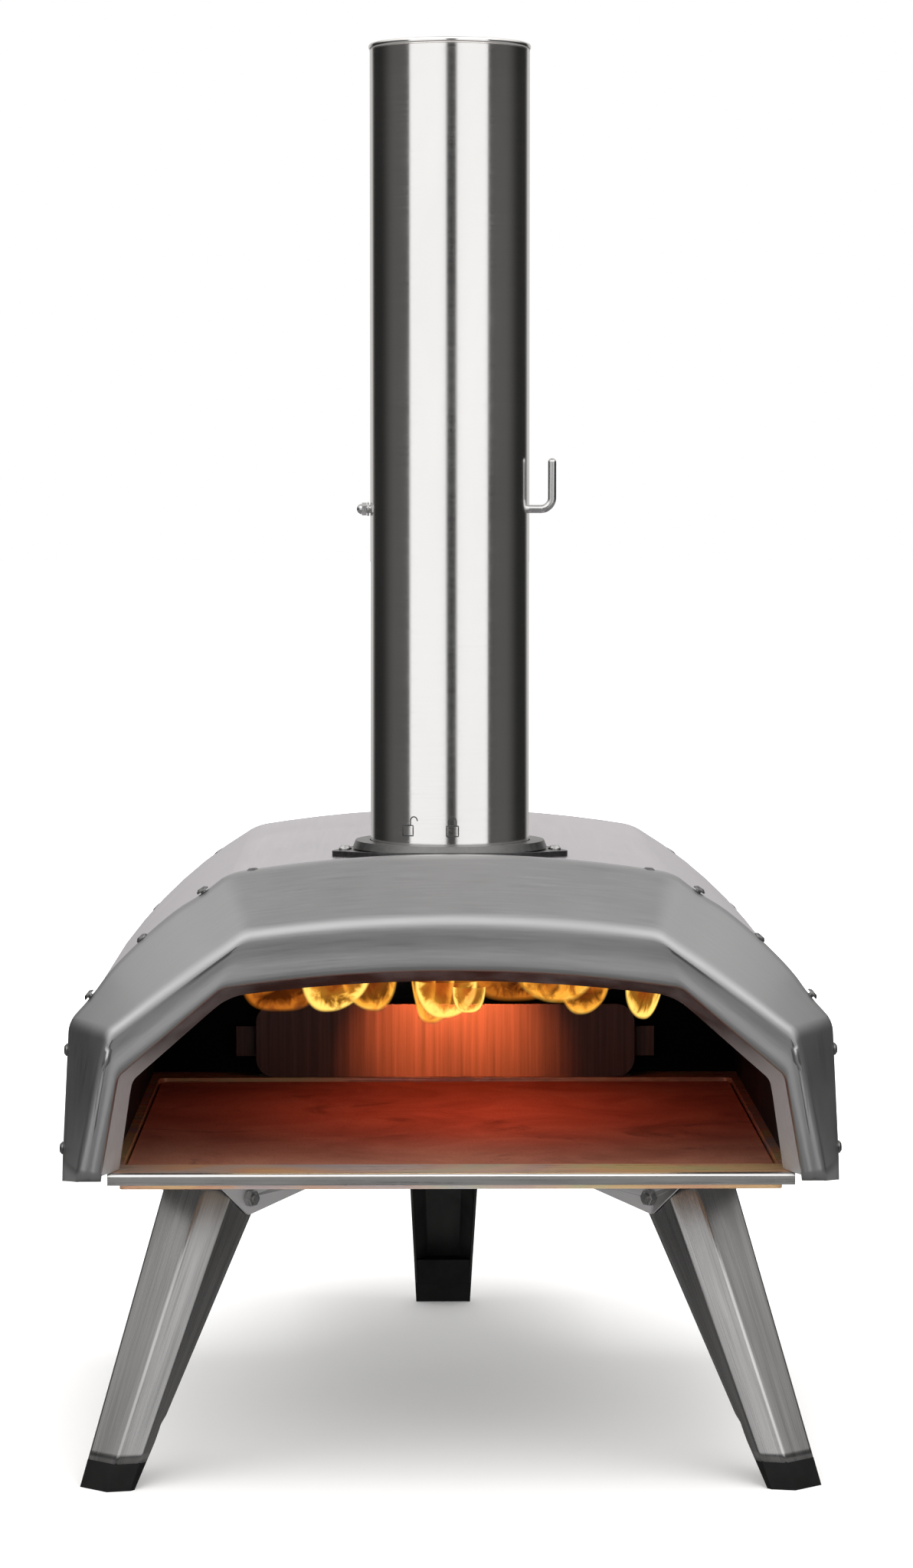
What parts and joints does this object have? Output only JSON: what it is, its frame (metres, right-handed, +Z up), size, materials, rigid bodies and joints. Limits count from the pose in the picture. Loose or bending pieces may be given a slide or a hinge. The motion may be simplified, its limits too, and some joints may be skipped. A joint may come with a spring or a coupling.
{
  "type": "wood fired pizza oven",
  "caption": "Portable arched steel pizza oven with a baking stone, rear fuel box, damped chimney and folding legs.",
  "frame": {"origin": "ground level under the middle of the oven's footprint", "axes": "+Z up, -Y towards the cook at the mouth, +X to the cook's right"},
  "size_m": [0.4056, 0.64, 0.751],
  "materials": {
    "shroud_steel": "satin",
    "frame_steel": "satin",
    "shell_steel": "brushed",
    "base_steel": "brushed",
    "pan_steel": "heat tinted",
    "chimney_steel": "polished",
    "leg_steel": "brushed",
    "fastener_steel": "satin",
    "hot_steel": "heat darkened",
    "stone": "matt ceramic",
    "insulation": "fibre blanket",
    "black_grip": "matt",
    "black_foot": "satin"
  },
  "bodies": {
    "oven": {"front_shroud": "shroud_steel", "shroud_screws": "fastener_steel", "mouth_frame": "frame_steel", "outer_shell": "shell_steel", "inner_shell": "hot_steel", "insulation": "insulation", "rear_wall": "shell_steel", "rear_screws": "fastener_steel", "floor_pan": "pan_steel", "base_tray": "base_steel", "burner_guard": "hot_steel", "burner_box": "shell_steel", "hatch_pin": "fastener_steel", "chimney_flange": "hot_steel", "flange_screws": "fastener_steel", "chimney_spigot": "hot_steel", "leg_bracket_left": "leg_steel", "leg_bracket_right": "leg_steel", "leg_bracket_rear": "leg_steel", "hinge_bolts": "fastener_steel", "hinge_nuts": "fastener_steel"},
    "stone": {"baking_stone": "stone"},
    "hatch": {"hatch_lid": "shell_steel", "hatch_handle": "black_grip"},
    "fuel_drawer": {"fuel_tray": "hot_steel", "fuel_grate": "hot_steel", "tray_handle": "black_grip"},
    "chimney": {"chimney_tube": "chimney_steel"},
    "damper": {"damper_plate": "hot_steel", "damper_rod": "chimney_steel", "damper_nut": "chimney_steel", "damper_washer": "chimney_steel"},
    "left_leg": {"leg_left": "leg_steel", "foot_left": "black_foot"},
    "right_leg": {"leg_right": "leg_steel", "foot_right": "black_foot"},
    "rear_leg": {"leg_rear": "leg_steel", "foot_rear": "black_foot"}
  },
  "joints": [
    {"name": "stone_lift", "type": "slide", "parent": "oven", "child": "stone", "axis": [0, 0, 1], "range_m": [0, 0.02]},
    {"name": "hatch_hinge", "type": "hinge", "parent": "oven", "child": "hatch", "pos_m": [0, 0.092, 0.2935], "axis": [1, 0, 0], "range_deg": [0, 95]},
    {"name": "drawer_slide", "type": "slide", "parent": "oven", "child": "fuel_drawer", "axis": [0, 1, 0], "range_m": [0, 0.18]},
    {"name": "chimney_lift", "type": "slide", "parent": "oven", "child": "chimney", "axis": [0, 0, 1], "range_m": [0, 0.05]},
    {"name": "damper_turn", "type": "hinge", "parent": "chimney", "child": "damper", "pos_m": [0, -0.217, 0.508], "axis": [1, 0, 0], "range_deg": [0, 90]},
    {"name": "left_leg_fold", "type": "hinge", "parent": "oven", "child": "left_leg", "pos_m": [-0.1262, -0.2161, 0.1436], "axis": [0.766, -0.6428, 0], "range_deg": [0, 114]},
    {"name": "right_leg_fold", "type": "hinge", "parent": "oven", "child": "right_leg", "pos_m": [0.1262, -0.2161, 0.1436], "axis": [0.766, 0.6428, 0], "range_deg": [0, 114]},
    {"name": "rear_leg_fold", "type": "hinge", "parent": "oven", "child": "rear_leg", "pos_m": [0, 0.149, 0.1436], "axis": [-1, 0, 0], "range_deg": [0, 114]}
  ]
}
